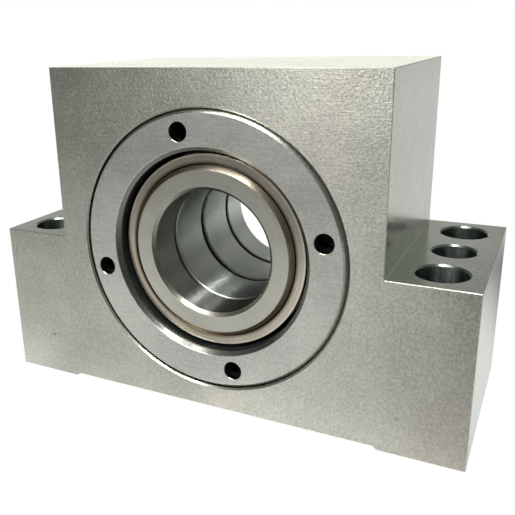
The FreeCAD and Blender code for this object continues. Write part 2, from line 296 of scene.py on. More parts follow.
class Graph:
    """Node tree of one material or of the room, with short calls for the nodes that they share.

    Attributes:
        COLOUR_ENDS: Numbers of a Mix node's inputs that hold the two colours.
        COLOUR_MIXED: Number of its output that holds the mixed colour.
    """

    COLOUR_ENDS = (6, 7)
    COLOUR_MIXED = 2

    def __init__(self, owner: bpy.types.Material | bpy.types.World) -> None:
        """Starts an empty tree.

        Args:
            owner: The material or world that the tree belongs to.
        """
        owner.use_nodes = True
        self.owner = owner
        self.tree = owner.node_tree
        self.tree.nodes.clear()

    def add(
        self, kind: str, inputs: dict[str | int, object] | None = None, **settings: object
    ) -> bpy.types.Node:
        """Adds a node.

        Args:
            kind: The node's type name, without its ShaderNode prefix.
            inputs: Values or sockets by input name or number.
            **settings: Properties of the node.

        Returns:
            The node.
        """
        node = self.tree.nodes.new("ShaderNode" + kind)
        for name, value in settings.items():
            setattr(node, name, value)
        for name, value in (inputs or {}).items():
            if isinstance(value, Socket):
                self.tree.links.new(value, node.inputs[name])
            else:
                node.inputs[name].default_value = value
        return node

    def math(self, operation: str, first: Number, second: Number = 0.0) -> Socket:
        """Result of a Math node on values or sockets."""
        return self.add("Math", {0: first, 1: second}, operation=operation).outputs[0]

    def away(self, value: Number, middle: Number) -> Socket:
        """How far a value is from a middle one, either way."""
        return self.math("ABSOLUTE", self.math("SUBTRACT", value, middle))

    def vector(self, operation: str, first: Tone, second: Tone = (0.0, 0.0, 0.0)) -> Socket:
        """Vector result of a Vector Math node."""
        return self.add("VectorMath", {0: first, 1: second}, operation=operation).outputs["Vector"]

    def split(self, vector: Socket) -> tuple[Socket, Socket, Socket]:
        """Parts of a vector along X, Y and Z."""
        parts = self.add("SeparateXYZ", {0: vector}).outputs
        return parts[0], parts[1], parts[2]

    def noise(self, place: Socket, scale: float, detail: float = 2.0, rough: float = 0.5) -> Socket:
        """Noise from 0 to 1 over a place.

        Args:
            place: Vector socket, in millimetres.
            scale: Features per millimetre.
            detail: Octaves of finer noise.
            rough: Weight of each finer octave.

        Returns:
            The noise socket.
        """
        inputs = {"Vector": place, "Scale": scale, "Detail": detail, "Roughness": rough}
        return self.add("TexNoise", inputs).outputs["Fac"]

    def fit(
        self, value: Socket, low: float, high: float, to_low: float = 0.0, to_high: float = 1.0
    ) -> Socket:
        """Smooth step of a value from one range to another.

        Args:
            value: The socket to fit.
            low: Value that gives to_low.
            high: Value that gives to_high.
            to_low: Lower end of the result.
            to_high: Upper end of the result.

        Returns:
            The fitted socket.
        """
        inputs = {"Value": value, "From Min": low, "From Max": high, "To Min": to_low, "To Max": to_high}
        return self.add("MapRange", inputs, interpolation_type="SMOOTHSTEP").outputs["Result"]

    def sum(self, *terms: tuple[Number, float]) -> Socket:
        """Weighted sum of values or sockets.

        Args:
            *terms: Pairs of a value or socket and its weight.

        Returns:
            The sum's socket.
        """
        total: Number = 0.0
        for value, weight in terms:
            total = self.add("Math", {0: value, 1: weight, 2: total}, operation="MULTIPLY_ADD").outputs[0]
        return total

    def product(self, *factors: Socket) -> Socket:
        """Product of sockets.

        Args:
            *factors: One socket or more.

        Returns:
            The product's socket.
        """
        total = factors[0]
        for factor in factors[1:]:
            total = self.math("MULTIPLY", total, factor)
        return total

    def band(self, value: Socket, middle: float, half: float, soft: float) -> Socket:
        """Share of a band: 1 near a middle value, falling to 0 beyond half the band's width.

        Args:
            value: The socket to look at.
            middle: Value in the middle of the band.
            half: Half the width of the full band.
            soft: Width of the soft border at each side.

        Returns:
            The share's socket.
        """
        return self.fit(self.away(value, middle), half + soft, half)

    def mix(self, share: Socket, first: Number, second: Number) -> Socket:
        """Number mixed from two numbers or sockets by a share."""
        return self.add("Mix", {"Factor": share, "A": first, "B": second}, data_type="FLOAT").outputs[0]

    def blend(self, share: Number, first: Tone, second: Tone) -> Socket:
        """Colour mixed from two colours or colour sockets by a share.

        Args:
            share: Share of the second colour.
            first: Colour at share 0.
            second: Colour at share 1.

        Returns:
            The mixed colour's socket.
        """
        ends = (tone if isinstance(tone, Socket) else (*tone, 1.0) for tone in (first, second))
        inputs = {"Factor": share, **dict(zip(self.COLOUR_ENDS, ends))}
        return self.add("Mix", inputs, data_type="RGBA", clamp_factor=True).outputs[self.COLOUR_MIXED]

    def place(self) -> Socket:
        """Object coordinates in millimetres."""
        coordinate = self.add("TexCoord").outputs["Object"]
        return self.vector("MULTIPLY", coordinate, (1 / MM,) * 3)

    def facing(self) -> tuple[Socket, Socket, Socket]:
        """Sizes of the surface normal's parts along the object's X, Y and Z."""
        normal = self.add("TexCoord").outputs["Normal"]
        return self.split(self.vector("ABSOLUTE", normal))

    def from_axis(self, place: Socket) -> tuple[Socket, Socket]:
        """Radius from the screw axis and unit direction away from it.

        Args:
            place: Object coordinates in millimetres.

        Returns:
            The radius in millimetres and the direction.
        """
        beside = self.vector("SUBTRACT", place, (0.0, 0.0, AXIS_Z / MM))
        flat = self.vector("MULTIPLY", beside, (1.0, 0.0, 1.0))
        radius = self.add("VectorMath", {0: flat}, operation="LENGTH").outputs["Value"]
        return radius, self.vector("NORMALIZE", flat)

    def to_world(self, way: Tone) -> Socket:
        """World direction of a direction on the object."""
        settings = {"vector_type": "VECTOR", "convert_from": "OBJECT", "convert_to": "WORLD"}
        return self.add("VectorTransform", {0: way}, **settings).outputs[0]

    def finish(
        self, shader: dict[str, object], height: Socket, depth: float, normal: Socket | None = None
    ) -> bpy.types.Material:
        """Ends the tree in a Principled shader with a bump.

        Args:
            shader: Inputs of the shader.
            height: Height of the fine relief, about 0 to 1.
            depth: Depth of that relief in metres.
            normal: World normal that the relief starts from, if not the surface's own.

        Returns:
            The material.
        """
        bump = self.add("Bump", {"Height": height, "Distance": depth, "Strength": 1.0})
        if normal:
            self.tree.links.new(normal, bump.inputs["Normal"])
        surface = self.add("BsdfPrincipled", {**shader, "Normal": bump.outputs[0]})
        self.add("OutputMaterial", {"Surface": surface.outputs[0]})
        return self.owner


class Finish(ABC):
    """A surface finish, made into a material once."""

    @abstractmethod
    def paint(self) -> bpy.types.Material:
        """Builds the material.

        Returns:
            The material.
        """

    @cached_property
    def material(self) -> bpy.types.Material:
        """The one material of this finish."""
        return self.paint()

    def dress(self, piece: bpy.types.Object) -> None:
        """Puts the finish on every slot of a piece.

        Args:
            piece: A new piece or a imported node.
        """
        if not piece.material_slots:
            piece.data.materials.append(self.material)
        for slot in piece.material_slots:
            slot.material = self.material


@dataclass(frozen=True)
class GroundSteel(Finish):
    """Steel ground flat in long passes: fine lines, a grain that sparkles, faint clouds and a few pits.

    Attributes:
        name: Name of the material.
        dark: Colour of the grain's hollows.
        light: Colour of the grain's tops.
        face_roughness: Roughness of the faces along the screw axis.
        side_roughness: Roughness of the other faces.
        line_pitch: Width of the grinding lines in millimetres.
        line_length: Length of the grinding lines in millimetres.
        line_share: How much the grinding lines show.
        grain_size: Size of the grain in millimetres.
        grain_turn: Angles that turn the grain off the object's axes, in radians.
        cloud_size: Size of the clouds in millimetres.
        pit_spacing: Distance between pits in millimetres.
        pit_border: Distances from a pit's middle at which it ends and is full, as shares of the spacing.
        pit_dirt: How much of a pit's colour is dirt.
        relief: Depth of the fine relief in metres.
        side_relief: Depth of the relief on the other faces over that on the faces along the screw axis.
        spread: How much further light scatters across the lines than along them.
        hollow_roughness: Roughness that the dirt in a hollow adds.
        edge_roughness: Roughness that the rubbing of the edges adds.
        tinge: How strong the warm and cool patches are.
        cool_from: Brightness of the painted shade under which a hollow is tinted blue, the colour of that
            shade.
    """

    name: str
    dark: Colour
    light: Colour
    face_roughness: float = 0.3
    side_roughness: float = 0.1
    line_pitch: float = 0.16
    line_length: float = 9.0
    line_share: float = 0.2
    grain_size: float = 0.42
    grain_turn: tuple[float, float, float] = (0.6, 0.5, 0.9)
    cloud_size: float = 14.0
    pit_spacing: float = 6.25
    pit_border: Border = (0.05, 0.028)
    pit_dirt: float = 0.55
    relief: float = 0.006 * MM
    side_relief: float = 0.35
    spread: float = 0.7
    hollow_roughness: float = 0.0
    edge_roughness: float = 0.0
    tinge: float = 0.0
    cool_from: float = 0.4

    @abstractmethod
    def openness(self, graph: Graph, place: Socket) -> Socket:
        """Brightness of the surface, 1 in the open and less in a hollow, where shade is painted into the
        colour.

        Args:
            graph: The material's tree.
            place: Object coordinates in millimetres.

        Returns:
            The brightness socket.
        """

    def lines(self, graph: Graph, place: Socket, sideways: Socket) -> Socket:
        """Grinding lines: noise drawn out along the axis on the sides, and across the block elsewhere.

        Args:
            graph: The material's tree.
            place: Object coordinates in millimetres.
            sideways: Size of the normal's part along X.

        Returns:
            The lines' socket.
        """
        thin, long = 1 / self.line_pitch, 1 / self.line_length
        across, rearward = (
            graph.noise(graph.vector("MULTIPLY", place, stretch), 1.0, 2.0)
            for stretch in ((long, thin, thin), (thin, long, thin))
        )
        on_side = graph.fit(sideways, 0.5, 0.8)
        return graph.mix(on_side, across, rearward)

    def pitted(self, graph: Graph, place: Socket) -> Socket:
        """Share of pits and scratches.

        Pits are the middles of cells that stand upright. Scratches are thin level lines of one noise, kept
        only on the peaks of another.

        Args:
            graph: The material's tree.
            place: Object coordinates in millimetres.

        Returns:
            The share's socket.
        """
        upright = graph.vector("MULTIPLY", place, (1.0, 1.0, 0.6))
        cells = {"Vector": upright, "Scale": 1 / self.pit_spacing, "Randomness": 1.0}
        pit = graph.fit(graph.add("TexVoronoi", cells).outputs["Distance"], *self.pit_border)
        level_line = graph.band(graph.noise(place, 0.22, 1.0), 0.5, 0.002, 0.004)
        elsewhere = graph.vector("ADD", place, (31.0, 17.0, 53.0))
        peak = graph.fit(graph.noise(elsewhere, 0.3, 1.0), 0.64, 0.7)
        return graph.math("MAXIMUM", pit, graph.product(level_line, peak))

    def tint(self, graph: Graph, place: Socket, forward: Socket, unshaded: Socket) -> Socket:
        """Tint of the steel: slow green and warm patches in front, green elsewhere, and blue in the painted
        shade of a hollow.

        Args:
            graph: The material's tree.
            place: Object coordinates in millimetres.
            forward: Size of the normal's part along Y.
            unshaded: Brightness of the surface, less in a hollow where shade is painted.

        Returns:
            The tint's socket.
        """
        greenish, warm = (0.985, 1.0, 0.99), (1.04, 0.985, 0.985)
        green, blue = (0.95, 1.0, 0.965), (0.86, 1.02, 1.15)
        elsewhere = graph.vector("ADD", place, (9.0, 40.0, 26.0))
        patch = graph.fit(graph.noise(elsewhere, 0.03, 1.0), 0.35, 0.65)
        other_face = graph.fit(forward, 0.9, 0.5)
        hollow = graph.fit(unshaded, self.cool_from, 0.15)
        tint = graph.blend(other_face, graph.blend(patch, greenish, warm), green)
        return graph.blend(hollow, graph.blend(self.tinge, WHITE, tint), blue)

    def paint(self) -> bpy.types.Material:
        """Grain, lines, clouds and pits give colour, gloss and relief; hollows get painted shade and more
        roughness, and edges are worn rough.

        Returns:
            The material.
        """
        graph = Graph(bpy.data.materials.new(self.name))
        place = graph.place()
        sideways, forward, upward = graph.facing()
        turned = graph.add("Mapping", {"Vector": place, "Rotation": self.grain_turn}).outputs["Vector"]
        grain = graph.noise(turned, 1 / self.grain_size, 2.0, 0.6)
        lines = self.lines(graph, place, sideways)
        cloud = graph.noise(place, 1 / self.cloud_size, 3.0)
        pitted = self.pitted(graph, place)
        # Painted shade: the colour is darkened in hollows by this brightness.
        unshaded = self.openness(graph, place)
        steepest = graph.math("MAXIMUM", graph.math("MAXIMUM", sideways, forward), upward)
        flat = graph.fit(steepest, 0.93, 0.99)

        tone = graph.sum((grain, 1.0 - self.line_share), (lines, self.line_share), (cloud, 0.4))
        colour = graph.blend(graph.fit(tone, 0.45, 0.95), self.dark, self.light)
        dirt = tuple(0.4 * part for part in self.dark)
        colour = graph.blend(graph.math("MULTIPLY", pitted, self.pit_dirt), colour, dirt)
        colour = graph.vector("MULTIPLY", colour, self.tint(graph, place, forward, unshaded))

        base = graph.fit(forward, 0.75, 0.95, self.side_roughness, self.face_roughness)
        uneven = graph.sum((grain, 0.05), (cloud, 0.06), (lines, 0.05), (pitted, 0.2))
        dirty = graph.fit(unshaded, 0.35, 0.16, 0.0, self.hollow_roughness)
        worn = graph.fit(flat, 1.0, 0.0, 0.0, self.edge_roughness)

        height = graph.sum((grain, 0.8), (lines, 0.35), (pitted, -0.3))
        deep = graph.fit(forward, 0.5, 0.9, self.side_relief, 1.0)
        shader = {
            "Base Color": graph.vector("MULTIPLY", colour, unshaded),
            "Metallic": 1.0,
            "Roughness": graph.sum((base, 1.0), (uneven, 1.0), (dirty, 1.0), (worn, 1.0)),
            "Anisotropic": self.spread,
            "Tangent": graph.to_world((0.0, 0.01, 1.0)),
        }
        return graph.finish(shader, graph.product(height, flat, deep), self.relief)


@dataclass(frozen=True)
class BlockSteel(GroundSteel):
    """Ground steel of the block, with painted shade down its bolt and dowel holes and round the mouth of its
    bore.

    Attributes:
        hole_light: Brightness of the painted shade on the holes' walls.
        hole_margin: How far the dark reaches past a wall, in millimetres.
        hole_border: Width of the dark's soft border in millimetres.
        mouth: Radius of the bore's mouth in millimetres.
        mouth_light: Brightness of the painted shade on the mouth's edge.
        mouth_end: Places along the axis, in millimetres, between which the painted shade of the edge sets in
            from the rear.
    """

    hole_light: float = 0.5
    hole_margin: float = 0.1
    hole_border: float = 0.3
    mouth: float = 33.9
    mouth_light: float = 0.8
    mouth_end: Border = (24.0, 20.0)

    def openness(self, graph: Graph, place: Socket) -> Socket:
        """Painted shade: upright walls close to the two rows of holes are dark, and the edge round the ring
        is darker.

        Args:
            graph: The material's tree.
            place: Object coordinates in millimetres.

        Returns:
            The brightness socket.
        """
        bolts = MOUNTS["foot_bolts"]["dims"]
        reach = bolts["hole_r_mm"] + self.hole_margin
        right, back, _ = graph.split(graph.vector("ABSOLUTE", place))
        beside = graph.band(right, bolts["spacing_x_mm"] / 2, reach, self.hole_border)
        within = graph.band(back, 0.0, bolts["spacing_y_mm"] / 2 + reach, self.hole_border)
        _, _, upward = graph.facing()
        wall = graph.fit(upward, 0.95, 0.5)
        # Painted shade on the walls of the holes and on the mouth's edge.
        in_hole = graph.mix(graph.product(beside, within, wall), 1.0, self.hole_light)
        radius, _ = graph.from_axis(place)
        _, along, _ = graph.split(place)
        at_mouth = graph.product(
            graph.fit(radius, self.mouth + 0.1, self.mouth), graph.fit(along, *self.mouth_end)
        )
        return graph.product(in_hole, graph.mix(at_mouth, 1.0, self.mouth_light))


@dataclass(frozen=True)
class RingSteel(GroundSteel):
    """Ground steel of the retaining ring, with painted shade in its spanner holes, its bore and the groove
    round it.

    Attributes:
        hole_light: Brightness of the painted shade at the bottom of the hollows.
        bore_edge: Radius inside which the surface belongs to the bore, in millimetres.
        rim_edge: Radius outside which it belongs to the groove, in millimetres.
        border: Width of the soft border at those radii, in millimetres.
    """

    hole_light: float = 0.16
    bore_edge: float = 25.6
    rim_edge: float = 32.3
    border: float = 0.3

    def openness(self, graph: Graph, place: Socket) -> Socket:
        """Painted shade: brightness falls with the depth behind the face, fast in the groove and slowly down
        the bore.

        Args:
            graph: The material's tree.
            place: Object coordinates in millimetres.

        Returns:
            The brightness socket.
        """
        radius, _ = graph.from_axis(place)
        _, along, _ = graph.split(place)

        def deeper(start: float, end: float) -> Socket:
            """Smooth step from 0 to 1 between two depths behind the face, in millimetres."""
            return graph.fit(along, FRONT + start, FRONT + end)

        groove = deeper(0.35, 1.05)
        hole = graph.sum((deeper(0.02, 0.1), 0.75), (deeper(0.3, 3.0), 0.25))
        bore = graph.sum((deeper(0.05, 0.2), 0.74), (deeper(0.95, 3.5), 0.26))
        in_groove = graph.fit(radius, self.rim_edge - self.border, self.rim_edge)
        in_bore = graph.fit(radius, self.bore_edge + self.border, self.bore_edge)
        # Painted shade in the groove, the spanner holes and the bore.
        hollow = graph.mix(in_bore, graph.mix(in_groove, hole, groove), bore)
        return graph.mix(hollow, 1.0, self.hole_light)


@dataclass(frozen=True)
class TurnedSteel(Finish):
    """Steel turned or ground about the screw axis: fine rings, soft clouds, and a brown tint with painted
    shade beside a crevice.

    Attributes:
        name: Name of the material.
        dark: Colour of the ring marks' hollows.
        light: Colour of the ring marks' tops.
        crevice_tint_and_shade: Colour of the brown tint and the painted shade beside the crevice.
        crevice_radius: Radius of the crevice beside which that colour sits, in metres.
        crevice_reach: How far that colour creeps from it, in metres.
        edge_tint_and_shade: How much the chamfers take the edge colour: a brown tint on the nose, painted
            shade at the bore.
        bore_edge: Colour of the edge of the bore, darkened as painted shade.
        edge_radii: Radii in millimetres between which an edge passes from that colour to the brown tint's.
        rim_radius: Radius of a rim with a painted highlight, in metres.
        rim_width: Width of that rim in millimetres.
        rim_gain: Brightness of that painted highlight.
        roughness: Roughness of the surface.
        edge_roughness: Roughness of the chamfers.
        spread: How much further light scatters across the marks than along them.
        ends: Brightness at the front and at the rear end of the stack, painted light that lightens the bore
            towards the rear opening.
        joint_light: Brightness of the joints between the pieces of the stack, where dirt sits.
        mark_pitch: Width of the ring marks in millimetres.
        relief: Depth of the fine relief in metres.
        tilt: Steepest slope of the ring marks' flanks, which scatters light along the axis.
    """

    name: str
    dark: Colour
    light: Colour
    crevice_tint_and_shade: Colour = (0.15, 0.12, 0.075)
    crevice_radius: float = 0.0
    crevice_reach: float = 0.5 * MM
    edge_tint_and_shade: float = 0.0
    bore_edge: Colour = (0.3, 0.285, 0.24)
    edge_radii: Border = (17.0, 18.5)
    rim_radius: float = 0.0
    rim_width: float = 0.8
    rim_gain: float = 1.0
    roughness: float = 0.28
    edge_roughness: float = 0.22
    spread: float = 0.0
    ends: tuple[float, float] = (1.0, 1.0)
    joint_light: float = 0.08
    mark_pitch: float = 0.14
    relief: float = 0.003 * MM
    tilt: float = 0.0

    def paint(self) -> bpy.types.Material:
        """Marks follow radius and y closely and the angle hardly at all, so they run round the axis.

        Returns:
            The material.
        """
        graph = Graph(bpy.data.materials.new(self.name))
        place = graph.place()
        radius, outward = graph.from_axis(place)
        _, along, _ = graph.split(place)
        _, forward, _ = graph.facing()
        on_edge = graph.fit(forward, 0.97, 0.85)
        ring = graph.add("CombineXYZ", {0: radius, 1: along, 2: 0.0}).outputs[0]
        ring = graph.vector("MULTIPLY", ring, (1 / self.mark_pitch,) * 3)
        marks = graph.noise(graph.vector("ADD", ring, outward), 1.0, 2.0)
        grain = graph.noise(place, 3.0, 2.0)
        cloud = graph.noise(place, 0.12, 3.0)

        tone = graph.sum((marks, 0.5), (grain, 0.35), (cloud, 0.5))
        colour = graph.blend(graph.fit(tone, 0.4, 0.95), self.dark, self.light)
        # Brown tint with painted shade beside the crevice.
        if self.crevice_radius:
            colour = graph.blend(self.crevice_share(graph, radius, cloud), colour, self.crevice_tint_and_shade)
        # Painted highlight: a bright band round the rim.
        if self.rim_radius:
            rim = self.rim_radius / MM
            rim_highlight = graph.fit(radius, rim - self.rim_width, rim, 1.0, self.rim_gain)
            colour = graph.vector("MULTIPLY", colour, rim_highlight)
        # Chamfers: a brown tint on the nose, and painted shade on the bore's edge.
        warm = tuple(0.35 * part + 0.65 * tint for part, tint in zip(self.light, self.crevice_tint_and_shade))
        edge = graph.blend(graph.fit(radius, *self.edge_radii), self.bore_edge, warm)
        colour = graph.blend(graph.math("MULTIPLY", on_edge, self.edge_tint_and_shade), colour, edge)
        # Painted light: the colour is scaled from the front end of the stack to the rear, lighter towards the
        # rear opening.
        painted_end_light = graph.fit(along, FRONT, BACK, *self.ends)
        shade = graph.product(self.joints(graph, radius, along), painted_end_light)

        base = graph.mix(on_edge, self.roughness, self.edge_roughness)
        shader = {
            "Base Color": graph.vector("MULTIPLY", colour, shade),
            "Metallic": 1.0,
            "Roughness": graph.sum((marks, 0.05), (cloud, 0.05), (base, 1.0)),
            "Anisotropic": self.spread,
            "Tangent": graph.to_world((0.0, 1.0, 0.01)),
        }
        height = graph.sum((marks, 0.7), (grain, 0.3))
        return graph.finish(shader, height, self.relief, self.flank(graph, place) if self.tilt else None)

    def crevice_share(self, graph: Graph, radius: Socket, cloud: Socket) -> Socket:
        """Share of the brown tint and painted shade, full at the crevice and uneven where it ends.

        Args:
            graph: The material's tree.
            radius: Radius from the screw axis in millimetres.
            cloud: Slow noise that makes the end uneven.

        Returns:
            The share's socket.
        """
        reach = self.crevice_reach / MM
        uneven = graph.sum((graph.away(radius, self.crevice_radius / MM), 1.0), (cloud, 0.6 * reach))
        return graph.fit(uneven, 2.0 * reach, 0.3 * reach)

    def flank(self, graph: Graph, place: Socket) -> Socket:
        """Normal of a fine ring mark's flank, tilted along the axis by a lot that differs at every point.

        Args:
            graph: The material's tree.
            place: Object coordinates in millimetres.

        Returns:
            The world normal's socket.
        """
        lot = graph.add("TexWhiteNoise", {"Vector": place}).outputs["Value"]
        slope = graph.math("MULTIPLY", graph.math("SUBTRACT", lot, 0.5), 2.0 * self.tilt)
        lean = graph.add("CombineXYZ", {1: slope}).outputs[0]
        normal = graph.vector("ADD", graph.add("TexCoord").outputs["Normal"], lean)
        return graph.to_world(graph.vector("NORMALIZE", normal))

    def joints(self, graph: Graph, radius: Socket, along: Socket) -> Socket:
        """Brightness of the surface, less in the joints at both ends of the inner rings.

        Args:
            graph: The material's tree.
            radius: Radius from the screw axis in millimetres.
            along: Object coordinate along the axis in millimetres.

        Returns:
            The brightness socket.
        """
        front, back = (corner.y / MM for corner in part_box("front_bearing_inner_ring"))
        from_middle = graph.away(along, back)
        from_end = graph.away(from_middle, back - front)
        close = graph.fit(graph.math("MINIMUM", from_middle, from_end), 1.1, 0.6)
        deep = graph.fit(radius, SHAFT_R / MM + 0.1, SHAFT_R / MM + 0.45)
        return graph.mix(graph.product(close, deep), 1.0, self.joint_light)


@dataclass(frozen=True)
class LappedSteel(Finish):
    """Mirror-bright steel of the balls, with the faintest haze.

    Attributes:
        name: Name of the material.
        dark: Colour out of the haze.
        light: Colour of the haze.
        relief: Depth of the fine relief in metres.
    """

    name: str
    dark: Colour
    light: Colour
    relief: float = 0.0004 * MM

    def paint(self) -> bpy.types.Material:
        """A slow noise varies colour and gloss a little.

        Returns:
            The material.
        """
        graph = Graph(bpy.data.materials.new(self.name))
        place = graph.place()
        haze = graph.noise(place, 0.5, 3.0)
        fine = graph.noise(place, 6.0, 2.0)
        colour = graph.blend(haze, self.dark, self.light)
        rough = graph.sum((haze, 0.05), (fine, 0.03))
        return graph.finish({"Base Color": colour, "Metallic": 1.0, "Roughness": rough}, fine, self.relief)


@dataclass(frozen=True)
class MouldedPolymer(Finish):
    """Fibre-filled polymer of the ball cages: matt, with a fine grain and paler flecks of fibre.

    Attributes:
        name: Name of the material.
        dark: Colour of the polymer.
        light: Colour of the flecks.
        relief: Depth of the grain in metres.
    """

    name: str
    dark: Colour
    light: Colour
    relief: float = 0.01 * MM

    def paint(self) -> bpy.types.Material:
        """Flecks are noise drawn out along Y; the grain is even.

        Returns:
            The material.
        """
        graph = Graph(bpy.data.materials.new(self.name))
        place = graph.place()
        grain = graph.noise(place, 4.0, 3.0)
        fleck = graph.noise(graph.vector("MULTIPLY", place, (5.0, 0.8, 5.0)), 1.0, 2.0)
        tone = graph.sum((grain, 0.5), (fleck, 0.6))
        colour = graph.blend(graph.fit(tone, 0.4, 0.8), self.dark, self.light)
        rough = graph.fit(grain, 0.2, 0.8, 0.45, 0.62)
        return graph.finish({"Base Color": colour, "Metallic": 0.0, "Roughness": rough}, grain, self.relief)


@dataclass(frozen=True)
class Finishes:
    """Every finish of the support bearing."""

    block: Finish = BlockSteel(
        "ground_steel_block",
        dark=(0.46, 0.47, 0.407),
        light=(0.665, 0.68, 0.593),
        face_roughness=0.26,
        grain_size=0.58,
        relief=0.055 * MM,
        hollow_roughness=0.1,
        edge_roughness=0.12,
        tinge=1.0,
        cool_from=0.95,
    )
    ring: Finish = RingSteel(
        "ground_steel_ring",
        dark=(0.523, 0.531, 0.484),
        light=(0.738, 0.747, 0.677),
        face_roughness=0.28,
        side_roughness=0.18,
        line_pitch=0.32,
        line_share=0.4,
        grain_size=0.6,
        relief=0.003 * MM,
        spread=0.3,
        hollow_roughness=0.4,
    )
    collar: Finish = TurnedSteel(
        "turned_steel_collar",
        dark=(0.52, 0.52, 0.45),
        light=(0.66, 0.66, 0.57),
        crevice_tint_and_shade=(0.34, 0.22, 0.12),
        crevice_radius=20.7 * MM,
        edge_tint_and_shade=0.8,
    )
    # Painted shade: the front collar's bore is painted dark, and the rear collar's bore is the same steel
    # painted light near the rear opening.
    shaded_collar_bore: Finish = TurnedSteel(
        "turned_steel_collar_bore", (0.14, 0.145, 0.13), (0.2, 0.21, 0.185), **BORE_GLOSS
    )
    lit_rear_bore: Finish = TurnedSteel(
        "turned_steel_clean_bore", (0.56, 0.60, 0.555), (0.66, 0.70, 0.65), **BORE_GLOSS
    )
    seal: Finish = TurnedSteel(
        "turned_steel_seal",
        dark=(0.51, 0.457, 0.367),
        light=(0.685, 0.637, 0.52),
        # Darker brown towards the crevice beside the collar: brown tint with painted shade.
        crevice_radius=20.9 * MM,
        crevice_reach=0.6 * MM,
        # Painted highlight round the seal ring's rim.
        rim_radius=23.2 * MM,
        rim_gain=1.45,
        roughness=0.2,
    )
    # Painted shade: the seal ring's cylinders, down in the gaps, are painted nearly black.
    shaded_seal_wall: Finish = TurnedSteel(
        "turned_steel_seal_wall", (0.06, 0.055, 0.045), (0.1, 0.09, 0.075), roughness=0.4, edge_roughness=0.4
    )
    bearing: Finish = TurnedSteel(
        "ground_steel_bearing", (0.47, 0.505, 0.46), (0.565, 0.605, 0.555), roughness=0.16
    )
    # Painted shade at the front of the bore, lighter towards the rear opening.
    bearing_bore: Finish = TurnedSteel(
        "ground_steel_bearing_bore", (0.74, 0.79, 0.72), (0.88, 0.94, 0.86), ends=(0.32, 0.7), **BORE_GLOSS
    )
    balls: Finish = LappedSteel("lapped_steel_balls", (0.66, 0.66, 0.66), (0.76, 0.76, 0.76))
    cage: Finish = MouldedPolymer("moulded_cage", (0.10, 0.095, 0.085), (0.21, 0.20, 0.18))


@dataclass
class TurnedPiece(ABC):
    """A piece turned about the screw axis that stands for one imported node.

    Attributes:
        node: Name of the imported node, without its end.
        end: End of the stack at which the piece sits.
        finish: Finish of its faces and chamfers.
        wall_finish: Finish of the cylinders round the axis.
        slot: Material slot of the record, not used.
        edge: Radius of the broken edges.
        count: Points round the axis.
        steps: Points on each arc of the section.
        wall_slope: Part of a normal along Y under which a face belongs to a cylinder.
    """

    node: str
    end: End
    finish: Finish
    wall_finish: Finish
    slot: str
    edge: float = 0.1 * MM
    count: int = 240
    steps: int = 5
    wall_slope: float = 0.3

    @property
    def name(self) -> str:
        """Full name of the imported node."""
        return f"{self.end.value}_{self.node}"

    @property
    def length(self) -> float:
        """Length of the piece along the axis."""
        low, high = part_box(self.name)
        return high.y - low.y

    @property
    def outer_r(self) -> float:
        """Largest radius of the piece."""
        low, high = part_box(self.name)
        return (high.x - low.x) / 2

    @abstractmethod
    def section(self) -> list[Corner]:
        """Section of the piece, with material on the left of its way at the front.

        Returns:
            Corners as (radius, depth from the outer face, round).
        """

    def outline(self) -> Outline:
        """Sets the section at its end of the stack, turned end for end at the rear.

        Returns:
            The outline in the plane of (radius, y).
        """
        low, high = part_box(self.name)
        face = low.y if self.end is End.FRONT else high.y
        corners = [(radius, face + self.end.inward * depth, arc) for radius, depth, arc in self.section()]
        return Outline(corners if self.end is End.FRONT else corners[::-1], steps=self.steps)

    def build(self) -> bpy.types.Object:
        """Makes the piece, sets it on its body and hides the node that it stands for.

        Returns:
            The new piece.
        """
        piece = self.outline().turned(full_turn(self.count)).make(self.name + "_turned")
        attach(piece, "inner_stack")
        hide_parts(self.name)
        LOG.info("%s: %d faces", piece.name, len(piece.data.polygons))
        return piece

    def dress(self, piece: bpy.types.Object) -> None:
        """Puts one finish on the faces and the other on the cylinders, told apart by their normals.

        Args:
            piece: The piece that was built.
        """
        self.finish.dress(piece)
        piece.data.materials.append(self.wall_finish.material)
        normals = np.empty(3 * len(piece.data.polygons), dtype=np.float32)
        piece.data.polygons.foreach_get("normal", normals)
        on_wall = np.abs(normals[1::3]) < self.wall_slope
        piece.data.polygons.foreach_set("material_index", on_wall.astype(np.int32))


@dataclass
class Collar(TurnedPiece):
    """Sleeve with a chamfered nose that clamps the inner rings.

    Attributes:
        nose_chamfer: Chamfer round the nose.
        bore_chamfer: Chamfer between nose and bore.
        joint_chamfer: Chamfer between bore and joint face.
    """

    nose_chamfer: float = 1.05 * MM
    bore_chamfer: float = 0.8 * MM
    joint_chamfer: float = 0.6 * MM

    def section(self) -> list[Corner]:
        """Nose, outside, joint face and bore.

        Returns:
            Corners as (radius, depth from the outer face, round).
        """
        outer, length = self.outer_r, self.length
        return [
            (SHAFT_R + self.bore_chamfer, 0.0, self.edge),
            (outer - self.nose_chamfer, 0.0, self.edge),
            (outer, self.nose_chamfer, self.edge),
            (outer, length, self.edge),
            (SHAFT_R + self.joint_chamfer, length, self.edge),
            (SHAFT_R, length - self.joint_chamfer, self.edge),
            (SHAFT_R, self.bore_chamfer, self.edge),
        ]


